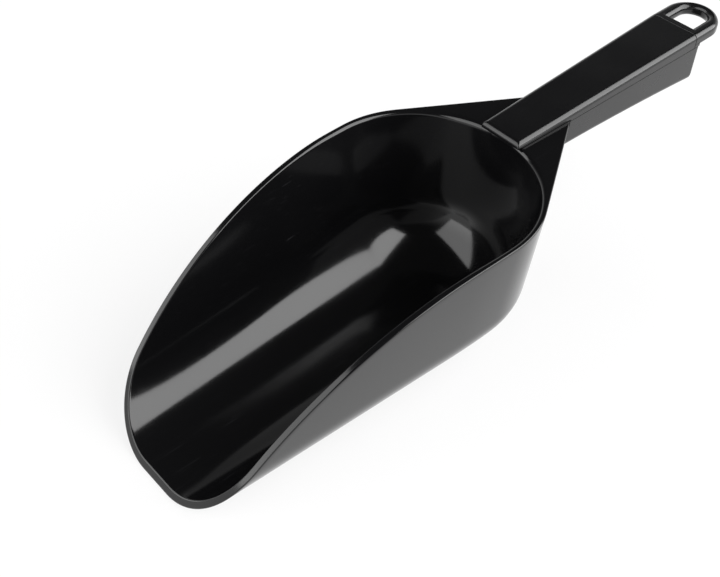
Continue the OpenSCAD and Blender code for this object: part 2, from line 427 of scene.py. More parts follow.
# Steps: lip, rounding, mouth, side of the rim, the rings of one skin, and a small rounding
LIP_STEPS, TURN_STEPS, MOUTH_STEPS, SIDE_STEPS, RINGS, ROUND_STEPS = 4, 26, 40, 4, 42, 6

# Turns round the rear at the flange's corner, and at the tang's near and far corner
FLANGE_TURN, TANG_TURN, TANG_SIDE_TURN = radians(78), radians(81.5), radians(84)

# Steps round the rear: up to the flange, then along the flange's edge, its end, the tang's side and end
RIM_STEPS, FLANGE_STEPS = 12, (20, 2, 2, 4)

# How fast the flange's long edge starts, as a share of an even pace, so that its faces stay square
FLANGE_START = 0.67

# The bowl's rule, one formula a row: name, operation, and what it works on
BOWL_RULE = (
    ("wall_in", "MULTIPLY", "Wall", "skin"),
    ("floor_in", "MULTIPLY", "Floor", "skin"),
    ("half", "SUBTRACT", "Half width", "wall_in"),
    ("rear", "SUBTRACT", "Rear length", "wall_in"),
    ("deepest", "SUBTRACT", "Depth", "floor_in"),
    ("edge", "SUBTRACT", "Edge height", "wall_in"),
    ("straight", "SUBTRACT", "deepest", "edge"),
    # Place down the wall, then round the edge, as a depth
    ("on_wall", "MINIMUM", "level", 1.0),
    ("past_wall", "SUBTRACT", "level", "on_wall"),
    ("on_edge", "MINIMUM", "past_wall", 1.0),
    ("turn", "MULTIPLY", "on_edge", pi / 2),
    ("rise", "SINE", "turn"),
    ("run", "COSINE", "turn"),
    ("round", "SUBTRACT", 1.0, "run"),
    ("drop", "MULTIPLY", "straight", "on_wall"),
    ("deep", "MULTIPLY_ADD", "edge", "rise", "drop"),
    # The sides start to close in softly, then evenly
    ("near", "MINIMUM", "ahead", "Taper blend"),
    ("near_square", "MULTIPLY", "near", "near"),
    ("blend_twice", "MULTIPLY", "Taper blend", 2.0),
    ("soft", "DIVIDE", "near_square", "blend_twice"),
    ("far", "SUBTRACT", "ahead", "near"),
    ("ramp", "ADD", "soft", "far"),
    # Width of the rounding, which narrows towards the lip
    ("along", "DIVIDE", "ahead", "Mouth length"),
    ("edge_change", "SUBTRACT", "Edge width at lip", "Edge width"),
    ("edge_outer", "MULTIPLY_ADD", "edge_change", "along", "Edge width"),
    ("edge_wide", "SUBTRACT", "edge_outer", "wall_in"),
    # Half width
    ("taper_in", "MULTIPLY", "Side taper", "ramp"),
    ("draft_in", "MULTIPLY", "Side draft", "deep"),
    ("edge_in", "MULTIPLY", "edge_wide", "round"),
    ("half_tapered", "SUBTRACT", "half", "taper_in"),
    ("half_drafted", "SUBTRACT", "half_tapered", "draft_in"),
    ("across", "SUBTRACT", "half_drafted", "edge_in"),
    # Length of the rounded rear
    ("rear_in", "MULTIPLY", "Rear draft", "deep"),
    ("rear_edge", "SUBTRACT", "Edge width at rear", "wall_in"),
    ("rear_edge_in", "MULTIPLY", "rear_edge", "round"),
    ("rear_drafted", "SUBTRACT", "rear", "rear_in"),
    ("back", "SUBTRACT", "rear_drafted", "rear_edge_in"),
    # Over the flat base, the ribs run in to the middle
    ("past_edge", "MAXIMUM", "level", 2.0),
    ("open", "SUBTRACT", 3.0, "past_edge"),
    ("rear_run", "COSINE", "rear_turn"),
    ("rear_rise", "SINE", "rear_turn"),
    ("half_here", "MULTIPLY", "across", "rear_run"),
    ("half_open", "MULTIPLY", "half_here", "open"),
    ("x", "MULTIPLY", "half_open", "side"),
    ("back_here", "MULTIPLY", "back", "rear_rise"),
    ("behind_widest", "SUBTRACT", "back_here", "ahead"),
    ("y", "ADD", "behind_widest", "Widest y"),
    ("z", "SUBTRACT", "Rim z", "deep"),
)
LATTICE = ("ahead", "rear_turn", "level", "skin", "side")


def mouth_depth_y(s, t):
    """Where the mouth's cut stands at a depth below the rim."""
    return -s.mouth_from - sqrt(s.mouth_radius**2 - (s.mouth_radius - t) ** 2)


def level_depth(s, level, skin):
    """Depth below the rim of a level of the outer (0) or the inner (1) skin."""
    edge = s.edge_height - s.wall * skin
    straight = s.depth - s.floor * skin - edge
    return straight * min(level, 1) + edge * sin(pi / 2 * min(max(level - 1, 0), 1))


def unrolled(s, level):
    """Length from the rim down the wall to a level, laid out flat."""
    straight = s.depth - s.edge_height
    return straight * min(level, 1) + ARC * min(max(level - 1, 0), 1) + FLAT * max(level - 2, 0)


def level_at(s, run):
    """The level at a length down the wall, laid out flat."""
    straight = s.depth - s.edge_height
    if run < straight:
        return run / straight
    if run < straight + ARC:
        return 1 + (run - straight) / ARC
    return min(3.0, 2 + (run - straight - ARC) / FLAT)


def front_ribs(s):
    """Starts of the right half's ribs along the lip, the mouth and the side of the rim: (y, level)."""
    straight = s.depth - s.edge_height
    lip = mouth_depth_y(s, s.depth)
    ribs = [(lip, 3 - i / LIP_STEPS) for i in range(LIP_STEPS)]
    for i in range(TURN_STEPS):
        turn = pi / 2 * (1 - i / TURN_STEPS)
        ribs.append((mouth_depth_y(s, straight + s.edge_height * sin(turn)), 1 + 2 * turn / pi))
    whole = acos(1 - straight / s.mouth_radius)
    for i in range(MOUTH_STEPS):
        turn = whole * (1 - i / MOUTH_STEPS)
        ribs.append((-s.mouth_from - s.mouth_radius * sin(turn), s.mouth_radius * (1 - cos(turn)) / straight))
    for i in range(SIDE_STEPS + 1):
        ribs.append((-s.mouth_from + (s.mouth_from - s.widest_at) * i / SIDE_STEPS, 0.0))
    return ribs


def flange_ribs(s, h):
    """Ribs round the rear end: (turn, outline's shift, its outward normal, how far it stands clear)."""
    corner = handle_half(h, s.flange_end)
    px, py = corner / s.half_width, (s.flange_end + s.widest_at) / s.rear_length
    touch = atan2(py, px) - acos(1 / hypot(px, py))
    tang = s.tang_width / 2
    start = Vector((s.half_width * cos(touch), -s.widest_at + s.rear_length * sin(touch)))
    marks = [
        (touch, start),
        (FLANGE_TURN, Vector((corner, s.flange_end))),
        (TANG_TURN, Vector((tang, s.flange_end))),
        (TANG_SIDE_TURN, Vector((tang, s.tang_end))),
        (pi / 2, Vector((0, s.tang_end))),
    ]
    normals = [outward(a[1], b[1]) for a, b in zip(marks, marks[1:])]
    ribs = [(touch * i / RIM_STEPS, None, None) for i in range(1, RIM_STEPS)]
    for k, count in enumerate(FLANGE_STEPS):
        (a0, p0), (a1, p1) = marks[k], marks[k + 1]
        for i in range(count):
            step = i / count
            go = step * (FLANGE_START + (1 - FLANGE_START) * step) if k == 0 else step
            normal = normals[k]
            if i == 0 and k > 0:
                normal = (normals[k - 1] + normals[k]) / (1 + normals[k - 1].dot(normals[k]))
            ribs.append((a0 + (a1 - a0) * step, p0 + (p1 - p0) * go, normal))
    ribs.append((pi / 2, marks[-1][1], normals[-1]))
    result = []
    for turn, point, normal in ribs:
        rim = Vector((s.half_width * cos(turn), -s.widest_at + s.rear_length * sin(turn)))
        if point is None:
            normal = Vector((cos(turn) / s.half_width, sin(turn) / s.rear_length)).normalized()
            point = rim
        clear = max(0.0, (point - rim).dot(normal))
        result.append((turn, point - rim, normal, clear))
    return result


def outward(a, b):
    """The outward normal of an outline's straight piece, going round the rear from the right."""
    along = (b - a).normalized()
    return Vector((along.y, -along.x))


def rim_rings(s, inner):
    """The rings between the two skins: (kind, distance from the edge into the wall, inset across it).

    inner is the radius of the inner edge, which changes from rib to rib.
    """
    turns = [pi / 2 * i / ROUND_STEPS for i in range(ROUND_STEPS + 1)]
    r, low, fillet = s.outer_round, s.flange_round, s.flange_fillet
    rings = [("fillet", s.flange + fillet + SKIN_STEP, 0.0)]
    rings += [("fillet", s.flange + fillet * (1 - sin(a)), fillet * (1 - cos(a))) for a in turns]
    rings += [("under", s.flange - low * (1 - cos(a)), low * (1 - sin(a))) for a in turns]
    rings += [("outer", r * (1 - sin(a)), r * (1 - cos(a))) for a in turns]
    rings += [("outer", 0.0, r + OUTER_STEP)]
    rings += [("inner", 0.0, s.wall - inner - INNER_STEP)]
    rings += [("inner", inner * (1 - cos(a)), s.wall - inner * (1 - sin(a))) for a in turns]
    return rings


class Rib:
    """A rib of the lattice, which runs down the wall from its start on the rim to its end.

    start, end and inward, the way that it leaves the rim, are laid out flat. inner is the radius of
    its inner edge, inner_y how far its inner skin is shifted at the mouth, and turn, shift, normal
    and clear are its place round the rear, as flange_ribs gives them.
    """

    inner_y, turn, clear = 0.0, 0.0, 0.0
    shift, normal = Vector((0, 0)), Vector((1, 0))

    def __init__(self, start, inward, end, inner):
        """Keeps the values that every rib has."""
        self.start, self.inward, self.end, self.inner = Vector(start), Vector(inward), Vector(end), inner


def bowl_ribs(s, h):
    """The right half's ribs from the lip round to the tang's end."""
    lip, total = mouth_depth_y(s, s.depth), unrolled(s, 3)
    pole = lip + POLE
    starts = front_ribs(s)
    flat = [(y, unrolled(s, level)) for y, level in starts]
    around = [(flat[1][0], 2 * total - flat[1][1]), *flat, (2 * flat[-1][0] - flat[-2][0], 0.0)]
    ribs = []
    for (y, level), start, before, after in zip(starts, flat, around, around[2:]):
        dy, dh = after[0] - before[0], after[1] - before[1]
        size = hypot(dy, dh)
        end_y = pole + (-s.widest_at - pole) * (y - lip) / (-s.widest_at - lip)
        grown = min(1.0, max(0.0, (y + ROUND_FROM) / (ROUND_FROM - s.widest_at)))
        inner = s.mouth_round + (s.side_round - s.mouth_round) * grown**2 * (3 - 2 * grown)
        rib = Rib(start, (-dh / size, dy / size), (end_y, total), inner)
        if y < -s.mouth_from:
            rib.inner_y = mouth_depth_y(s, level_depth(s, level, 1)) - y
        ribs.append(rib)
    for turn, shift, normal, clear in flange_ribs(s, h):
        inner = s.side_round + (s.inner_round - s.side_round) * min(1.0, clear / ROUND_WITHIN)
        rib = Rib((-s.widest_at, 0), (0, 1), (-s.widest_at, total), inner)
        rib.turn, rib.shift, rib.normal, rib.clear = turn, shift, normal, clear
        ribs.append(rib)
    return ribs


def rib_point(s, rib, ring, side):
    """One point of the lattice: its five places and its shift, on the right (1) or the left (-1)."""
    kind, away, part, inset = ring
    size = (rib.end - rib.start).length
    go = away / size if part is None else (away + (size - away) * part) / size
    bend = rib.start + rib.inward * size / 2
    spot = rib.start * (1 - go) ** 2 + bend * (2 * go * (1 - go)) + rib.end * go**2
    skin = inset / s.wall if kind in ("outer", "inner", "skin") else 0.0
    radial = Vector((cos(rib.turn), sin(rib.turn)))
    opened = min(1.0, rib.clear / (s.flange_round + s.flange_fillet))
    shift = Vector((0, 0))
    if kind == "outer":
        shift = rib.shift - (rib.normal - radial) * inset
    elif kind == "under":
        shift = rib.shift - rib.normal * inset * opened
    elif kind == "fillet":
        shift = radial * inset * opened
    y = spot.x + rib.inner_y * skin * (1 - go)
    places = (max(0.0, -s.widest_at - y), rib.turn, level_at(s, spot.y), skin, side)
    return places, (shift.x * side, shift.y, 0.0)


def bowl_lattice(s, h):
    """The bowl's closed mesh as a lattice: for each point its five places and its shift, and the faces."""
    ribs = bowl_ribs(s, h)
    first = s.flange + s.flange_fillet + SKIN_STEP
    for rib in ribs:
        rib.rings = [("skin", first, k / RINGS, 0.0) for k in range(RINGS, 0, -1)]
        rib.rings += [(kind, away, None, inset) for kind, away, inset in rim_rings(s, rib.inner)]
        rib.rings += [("skin", rib.inner + SKIN_STEP, k / RINGS, s.wall) for k in range(RINGS + 1)]
    ring_count = len(ribs[0].rings)
    order = [(rib, 1.0) for rib in ribs] + [(rib, -1.0) for rib in ribs[-2:0:-1]]
    points = [rib_point(s, rib, rib.rings[j], side) for j in range(ring_count) for rib, side in order]
    count = len(order)
    return [spot for spot, _ in points], [shift for _, shift in points], ring_faces(ring_count, count)


def bowl_tree(material):
    """Geometry Nodes that put each point of the lattice where the bowl's rule says."""
    words = {word for row in BOWL_RULE for word in row[2:] if isinstance(word, str)}
    names = sorted(word for word in words if word[0].isupper())
    tree, start = start_tree("bowl_rule", names)
    known = {name: start[name] for name in names}
    for name in LATTICE:
        known[name] = add_node(
            tree, "GeometryNodeInputNamedAttribute", {"Name": name}, data_type="FLOAT"
        ).outputs["Attribute"]
    for name, operation, *words in BOWL_RULE:
        inputs = {i: known[word] if isinstance(word, str) else word for i, word in enumerate(words)}
        known[name] = add_node(tree, "ShaderNodeMath", inputs, operation=operation).outputs[0]
    spot = add_node(tree, "ShaderNodeCombineXYZ", {"X": known["x"], "Y": known["y"], "Z": known["z"]})
    shift = add_node(tree, "GeometryNodeInputNamedAttribute", {"Name": "shift"}, data_type="FLOAT_VECTOR")
    moved = add_node(
        tree, "ShaderNodeVectorMath", {0: spot.outputs[0], 1: shift.outputs["Attribute"]}, operation="ADD"
    )
    placed = add_node(
        tree, "GeometryNodeSetPosition", {"Geometry": start["Geometry"], "Position": moved.outputs[0]}
    )
    closed = add_node(
        tree, "GeometryNodeMergeByDistance", {"Geometry": placed.outputs[0], "Distance": MERGE}
    )
    return end_tree(tree, closed.outputs[0], material)


def make_bowl(s, h, material):
    """The bowl with its flange and tang, as one closed skin."""
    places, shifts, faces = bowl_lattice(s, h)
    mesh = bpy.data.meshes.new("scoop_bowl")
    mesh.from_pydata([(0, 0, 0)] * len(places), [], faces)
    for k, name in enumerate(LATTICE):
        values = mesh.attributes.new(name, "FLOAT", "POINT")
        values.data.foreach_set("value", [p[k] for p in places])
    moves = mesh.attributes.new("shift", "FLOAT_VECTOR", "POINT")
    moves.data.foreach_set("vector", [c for p in shifts for c in p])
    # The tree's inputs have the names of the sizes that they take
    values = {item.name: getattr(s, key) for key, item in s.bl_rna.properties.items()}
    values["Mouth length"] = -s.widest_at - mouth_depth_y(s, s.depth)
    values["Widest y"] = FRONT_Y - s.widest_at
    values["Rim z"] = RIM_Z
    return run_tree("scoop_bowl", mesh, bowl_tree(material), values)


# ---- Handle ----

# Places of the three pegs behind the handle's front, how far they reach into their bosses and how
# high they are rooted in the cover
PEG_AT = (46 * MM, 70 * MM, 95 * MM)
PEG_DEEP = 7.5 * MM
PEG_ROOT = 1 * MM

# Clearances: round a peg, between faces that meet end to end, between faces that rest together,
# between the grip and the bowl's rear wall, and between two rings that make a step
PEG_FIT = 0.05 * MM
GAP = 0.15 * MM
SEAT = 0.03 * MM
REAR_GAP = 0.2 * MM
STEP = 0.01 * MM

# The grip's front end behind the handle's front, and the space cut out of it: its start, its top over
# the rim's plane, the places where its floor bends, and the thickness of the end wall behind it
GRIP_FROM = 4 * MM
HOLLOW_FROM = 9 * MM
HOLLOW_TOP = 1 * MM
HOLLOW_BENDS = (HOLLOW_FROM, 50 * MM, 80 * MM)
END_WALL = 2.6 * MM

# Steps: round the grip's lower edge, along its front part, along its rest, and round its rear face
EDGE_STEPS, FRONT_STEPS, GRIP_STEPS, END_STEPS = 10, 6, 22, 6

# Edges that turn more than this stay sharp in shading
SHARP = radians(40)

# The loop's roundings: their share of the ring's width, outside and in the hole; how much smaller
# they are below; their greatest height; the width of the flat beside them; and its own sharp angle
OUTER_SHARE, HOLE_SHARE, LOWER_SHARE = 0.5, 0.48, 0.35
ROUND_HIGH = 2.4 * MM
FLAT_STEP = 0.2 * MM
LOOP_SHARP = radians(50)

# Steps along the loop's straight side, round its tip, across its front, and round an edge
STRAIGHT_STEPS, TIP_STEPS, ACROSS_STEPS, LOOP_ROUND_STEPS = 6, 40, 10, 6

# The top of the loop's foot over the rim's plane, and the roundings of the foot and the tongue
FOOT_TOP = 1.2 * MM
FOOT_ROUND, TONGUE_ROUND = 0.15 * MM, 0.3 * MM

# Sides of a round pin, and the length of the tool for its hole as a share of the pin's
PIN_SIDES = 48
BORE_SHARE = 1.2


def handle_half(h, y):
    """Half width of the handle behind its front."""
    return (h.front_width + (h.rear_width - h.front_width) * y / h.cover_length) / 2


def grip_depth(h, y):
    """Depth of the grip below the rim's plane."""
    return h.grip_front + h.grip_drop * (y / h.end_wall) ** 2


def boss_tops(s):
    """Heights of the bosses: the first two stop under the tang, the rear one at the rim's plane."""
    return (-s.flange, -s.flange, 0.0)


def weigh_edges(mesh, rule, widest):
    """Gives each edge its share of the widest rounding; an edge with none stays sharp in shading."""
    weights = mesh.attributes.new("bevel_weight_edge", "FLOAT", "EDGE")
    for edge in mesh.edges:
        radius = rule(*(mesh.vertices[i].co for i in edge.vertices))
        weights.data[edge.index].value = radius / widest
        edge.use_edge_sharp = radius == 0


def round_edges(obj, widest, steps):
    """Rounds the weighed edges and keeps the flat faces flat in shading."""
    modifier = obj.modifiers.new("rounding", "BEVEL")
    modifier.limit_method = "WEIGHT"
    modifier.width = widest
    modifier.segments = steps
    modifier.use_clamp_overlap = False
    modifier.harden_normals = True
    return apply_modifiers(obj)


def cut_away(obj, tool):
    """Takes the tool's space out of a piece, then removes the tool."""
    cut = obj.modifiers.new("cut", "BOOLEAN")
    cut.operation = "DIFFERENCE"
    cut.solver = "EXACT"
    cut.object = tool
    apply_modifiers(obj)
    bpy.data.objects.remove(tool)


def prism(name, side, half):
    """A block from its side outline of (y, z) points, with a half width at each y."""
    count = len(side)
    points = [place(sign * half(y), y, z) for sign in (1, -1) for y, z in side]
    faces = [list(range(count)), list(range(2 * count - 1, count - 1, -1))]
    faces += [(i, (i + 1) % count, count + (i + 1) % count, count + i) for i in range(count)]
    return mesh_object(name, points, faces)


def make_cover(s, h):
    """The cover on the handle's top, with side rims that meet the grip."""
    step, end = s.flange_end + GAP, h.cover_length
    rim = -h.part_line + SEAT
    side = [(0.0, SEAT), (step, SEAT), (step, rim), (end, rim), (end, h.rear_height), (0.0, h.front_height)]
    obj = prism("scoop_cover", side, lambda y: handle_half(h, y))
    front, rear = FRONT_Y, FRONT_Y + end
    y0, y1, top = h.tongue_from - GAP, end + MM, h.tongue + GAP
    pocket_half = h.tongue_width / 2 + GAP
    pocket = [(y0, -MM), (y1, -MM), (y1, top), (y0, top)]
    cut_away(obj, prism("tongue_pocket", pocket, lambda y: pocket_half))

    def rounding(a, b):
        """Radius of an edge of the cover."""
        at_seam = abs(a.y - rear) < MM and abs(b.y - rear) < MM
        if at_seam or max(abs(a.x), abs(b.x)) < pocket_half + SEAT:
            return 0.0
        if abs(a.y - front) < MM and abs(b.y - front) < MM and abs(a.x - b.x) < MM:
            return h.corner_round
        return h.cover_round if min(a.z, b.z) > RIM_Z + h.front_height - MM else h.seam_round

    weigh_edges(obj.data, rounding, h.cover_round)
    return round_edges(obj, h.cover_round, steps=8)


def grip_ring(s, h, y, inset, drop, top, front):
    """One ring across the grip: up the left side, over the top and down round the right."""
    half = handle_half(h, y) - inset
    low = -grip_depth(h, y) + drop
    r = h.grip_round
    turns = [pi / 2 * k / EDGE_STEPS for k in range(EDGE_STEPS + 1)]
    right = [(half, top)] + [(half - r + r * cos(a), low + r - r * sin(a)) for a in turns]
    ring = right + [(-x, z) for x, z in reversed(right)]
    if not front:
        return [place(x, y, z) for x, z in ring]
    # The front end follows the bowl's rear wall with a small gap
    bowed = []
    for x, z in ring:
        across = s.half_width + s.side_draft * z
        back = s.rear_length + s.rear_draft * z
        bowed.append(place(x, -s.widest_at + back * sqrt(1 - (x / across) ** 2) + REAR_GAP, z))
    return bowed


def make_grip(s, h):
    """The deep hollow lower shell of the handle, closed at both ends."""
    step = s.flange_end + GAP
    under = -s.flange - SEAT
    last = h.end_wall - h.end_round
    rings = [grip_ring(s, h, GRIP_FROM, 0, 0, under, True)]
    rings += [grip_ring(s, h, step * k / FRONT_STEPS, 0, 0, under, False) for k in range(2, FRONT_STEPS + 1)]
    for k in range(GRIP_STEPS + 1):
        y = step + STEP + (last - step) * k / GRIP_STEPS
        rings.append(grip_ring(s, h, y, 0, 0, -h.part_line, False))
    for k in range(1, END_STEPS + 1):
        a = pi / 2 * k / END_STEPS
        y = last + h.end_round * sin(a)
        drop = h.end_round * (1 - cos(a))
        rings.append(grip_ring(s, h, y, drop / 2, drop, -h.part_line, False))
    points = [p for ring in rings for p in ring]
    n = len(rings[0])
    faces = ring_faces(len(rings), n)
    faces.append(tuple(range(n)))
    faces.append(tuple(range(len(points) - 1, len(points) - n - 1, -1)))
    obj = mesh_object("scoop_grip", points, faces)
    hollow_grip(h, obj)
    return flatten(obj, SHARP)


def hollow_grip(h, obj):
    """Cuts the hollow that the cover closes."""
    wall, rear = h.grip_wall, h.end_wall - END_WALL
    side = [(HOLLOW_FROM, HOLLOW_TOP)]
    side += [(y, wall - grip_depth(h, y)) for y in HOLLOW_BENDS]
    side += [(rear, wall - grip_depth(h, h.end_wall)), (rear, HOLLOW_TOP)]
    cut_away(obj, prism("grip_hollow", side, lambda y: handle_half(h, y) - wall))


def flatten(obj, angle):
    """Keeps the edges past an angle sharp and the flat faces flat in shading."""
    sharpen(obj.data, angle)
    flat = obj.modifiers.new("flat_faces", "WEIGHTED_NORMAL")
    flat.keep_sharp = True
    return apply_modifiers(obj)


def sharpen(mesh, angle):
    """Marks the edges that stay sharp in shading."""
    shape = bmesh.new()
    shape.from_mesh(mesh)
    for edge in shape.edges:
        edge.smooth = edge.calc_face_angle(0.0) < angle
    for face in shape.faces:
        face.smooth = True
    shape.to_mesh(mesh)
    shape.free()


def pin_tree(name, material, hole):
    """Geometry Nodes that stand a round pin, or a tube with a hole, on each point of a row."""
    tree, start = start_tree(name, ("Radius", "Hole"))
    size = {"Vertices": PIN_SIDES, "Radius": start["Radius"], "Depth": 1.0}
    shape = add_node(tree, "GeometryNodeMeshCylinder", size).outputs["Mesh"]
    if hole:
        size = {"Vertices": PIN_SIDES, "Radius": start["Hole"], "Depth": BORE_SHARE}
        bore = add_node(tree, "GeometryNodeMeshCylinder", size)
        cut = {"Mesh 1": shape, "Mesh 2": bore.outputs["Mesh"]}
        shape = add_node(tree, "GeometryNodeMeshBoolean", cut, operation="DIFFERENCE").outputs["Mesh"]
    tall = add_node(tree, "GeometryNodeInputNamedAttribute", {"Name": "tall"}, data_type="FLOAT")
    scale = add_node(tree, "ShaderNodeCombineXYZ", {"X": 1.0, "Y": 1.0, "Z": tall.outputs["Attribute"]})
    spots = {"Points": start["Geometry"], "Instance": shape, "Scale": scale.outputs[0]}
    row = add_node(tree, "GeometryNodeInstanceOnPoints", spots)
    return end_tree(tree, row.outputs[0], material)


def make_pins(name, spans, radius, hole, material):
    """A row of round pins or tubes along the handle; spans are (y, low, high)."""
    mesh = bpy.data.meshes.new(name)
    mesh.from_pydata([tuple(place(0, y, (low + high) / 2)) for y, low, high in spans], [], [])
    tall = mesh.attributes.new("tall", "FLOAT", "POINT")
    tall.data.foreach_set("value", [high - low for _, low, high in spans])
    obj = run_tree(name, mesh, pin_tree(name, material, hole > 0), {"Radius": radius, "Hole": hole})
    sharpen(obj.data, SHARP)
    return obj


def loop_outlines(h):
    """The loop's outline and its hole's, point by point: (place, radius across and along there)."""
    start = h.cover_length + h.seam_gap
    tip = h.cover_length + h.loop_length
    half, hole_half = h.rear_width / 2, h.hole_width / 2
    centre = tip - half
    hole_tip = tip - h.loop_tip
    hole_start = hole_tip - h.hole_length
    hole_centre = hole_tip - hole_half
    outer, inner = [], []

    def add_pair(outer_at, inner_at, out, seam, front):
        """Adds a point of each outline with the roundings that the ring's width leaves room for."""
        width = hypot(outer_at[0] - inner_at[0], outer_at[1] - inner_at[1])
        r, hole_r = min(h.cover_round, OUTER_SHARE * width), min(h.hole_round, HOLE_SHARE * width)
        outer.append((outer_at, (-r * out[0], seam - r * out[1])))
        inner.append((inner_at, (hole_r * out[0], hole_r * out[1] - front)))

    def add_side(side, steps):
        """Adds a straight side; its first point is at the seam, where the front edges' radii count too."""
        for k in steps:
            t = k / STRAIGHT_STEPS
            seam, front = (h.seam_round, h.hole_front_round) if k == 0 else (0.0, 0.0)
            outer_at = (side * half, start + (centre - start) * t)
            inner_at = (side * hole_half, hole_start + (hole_centre - hole_start) * t)
            add_pair(outer_at, inner_at, (side, 0), seam, front)

    add_side(1, range(STRAIGHT_STEPS))
    for k in range(TIP_STEPS + 1):
        x, y = cos(pi * k / TIP_STEPS), sin(pi * k / TIP_STEPS)
        inner_at = (hole_half * x, hole_centre + hole_half * y)
        add_pair((half * x, centre + half * y), inner_at, (x, y), 0.0, 0.0)
    add_side(-1, range(STRAIGHT_STEPS - 1, -1, -1))
    for k in range(1, ACROSS_STEPS):
        t = -1 + 2 * k / ACROSS_STEPS
        outer.append((((half - h.cover_round) * t, start), (0.0, h.seam_round)))
        inner.append(((hole_half * t, hole_start), (0.0, -h.hole_front_round)))
    return outer, inner


def make_loop(h):
    """The end piece with the D-shaped hang hole, its foot and its tongue."""
    outer, inner = loop_outlines(h)
    high, low, flat = h.rear_height, SEAT, pi / 2
    down = [pi / 2 * k / LOOP_ROUND_STEPS for k in range(LOOP_ROUND_STEPS + 1)]
    up = down[::-1]
    rings = [[round_point(p, low, LOWER_SHARE, a, 1) for p in outer] for a in up]
    rings += [[round_point(p, high, 1.0, a, -1) for p in outer] for a in down]
    rings += [[round_point(p, high, 1.0, flat, -1, FLAT_STEP) for p in line] for line in (outer, inner)]
    rings += [[round_point(p, high, 1.0, a, -1) for p in inner] for a in up]
    rings += [[round_point(p, low, 1.0, a, 1) for p in inner] for a in down]
    faces = ring_faces(len(rings), len(outer), closed=True)
    obj = flatten(mesh_object("scoop_loop", [p for ring in rings for p in ring], faces), LOOP_SHARP)
    start = h.cover_length + h.seam_gap
    rim = -h.part_line + SEAT
    foot = block("loop_foot", h.rear_width, (start, h.end_wall), (rim, FOOT_TOP), FOOT_ROUND)
    tongue = block("loop_tongue", h.tongue_width, (h.tongue_from, start + MM), (SEAT, h.tongue), TONGUE_ROUND)
    cut_away(tongue, make_pins("tongue_hole", [(PEG_AT[2], 0.0, h.tongue + MM)], h.peg / 2 + GAP, 0.0, None))
    sharpen(tongue.data, SHARP)
    return join(obj, foot, tongue)


def round_point(point, level, scale, turn, up, extra=0.0):
    """A point of a rounded edge: turn goes from the upright wall (0) to the flat face (90 degrees)."""
    (x, y), (dx, dy) = point
    size = hypot(dx, dy)
    go = scale * (1 - cos(turn)) + extra / size
    height = min(scale * size, ROUND_HIGH)
    return place(x + dx * go, y + dy * go, level + up * height * (1 - sin(turn)))


def block(name, width, along, up, rounding):
    """A plain block with rounded edges, from its width and its two ends along and up."""
    (y0, y1), (z0, z1) = along, up
    obj = prism(name, [(y0, z0), (y1, z0), (y1, z1), (y0, z1)], lambda y: width / 2)
    weigh_edges(obj.data, lambda a, b: rounding, rounding)
    return round_edges(obj, rounding, steps=3)


def join(target, *others):
    """Joins whole meshes into one object."""
    shape = bmesh.new()
    for obj in (target, *others):
        shape.from_mesh(obj.data)
    shape.to_mesh(target.data)
    shape.free()
    for obj in others:
        bpy.data.objects.remove(obj)
    return target


# ---- Stage ----

# The camera: place, target, roll and lens
CAMERA_AT = Vector((0.1984, -0.2356, 0.3165))
CAMERA_TO = Vector((0.0240, -0.0751, 0.0668))
CAMERA_ROLL = radians(1.17)
LENS = 52.32
SENSOR = 36

# Half the floor's side, and its place just under the scoop's base
FLOOR_HALF = 6.0
FLOOR_Z = -0.05 * MM

# The height above the base that the lights face
LIGHTS_TO = 40 * MM


def make_camera():
    """The camera, rolled a little about its own axis."""
    data = bpy.data.cameras.new("camera")
    data.lens = LENS
    data.sensor_width = SENSOR
    data.clip_start = 0.01
    data.clip_end = 50
    camera = add_object("camera", data)
    aim = (CAMERA_AT - CAMERA_TO).to_track_quat("Z", "Y").to_matrix().to_4x4()
    camera.matrix_world = Matrix.Translation(CAMERA_AT) @ aim @ Matrix.Rotation(CAMERA_ROLL, 4, "Z")
    bpy.context.scene.camera = camera


def softbox(name, azimuth, elevation, distance, width, height, strength):
    """A rectangular soft light that faces the scoop; azimuth is counted from +X towards +Y."""
    a, e = radians(azimuth), radians(elevation)
    back = Vector((cos(a) * cos(e), sin(a) * cos(e), sin(e)))
    data = bpy.data.lights.new(name, "AREA")
    data.shape = "RECTANGLE"
    data.size, data.size_y = width, height
    data.energy = strength * width * height * pi
    light = add_object(name, data)
    turned = back.to_track_quat("Z", "Y").to_matrix().to_4x4()
    light.matrix_world = Matrix.Translation(Vector((0, 0, LIGHTS_TO)) + back * distance) @ turned


def make_floor(finish):
    """A wide pale floor just under the scoop, lit from below so that it stays an even white."""
    corners = ((-1, -1), (1, -1), (1, 1), (-1, 1))
    mesh = bpy.data.meshes.new("floor")
    mesh.from_pydata([(x * FLOOR_HALF, y * FLOOR_HALF, FLOOR_Z) for x, y in corners], [], [(0, 1, 2, 3)])
    obj = add_object("floor", mesh)
    material = bpy.data.materials.new("pale_lit_floor")
    tree = clear_nodes(material)
    shader = add_node(
        tree,
        "ShaderNodeBsdfPrincipled",
        {
            "Base Color": list(finish.floor),
            "Roughness": 0.9,
            "Specular IOR Level": 0.0,
            "Emission Color": (1, 1, 1, 1),
            "Emission Strength": finish.floor_glow,
        },
    )
    add_node(tree, "ShaderNodeOutputMaterial", {"Surface": shader.outputs[0]})
    mesh.materials.append(material)


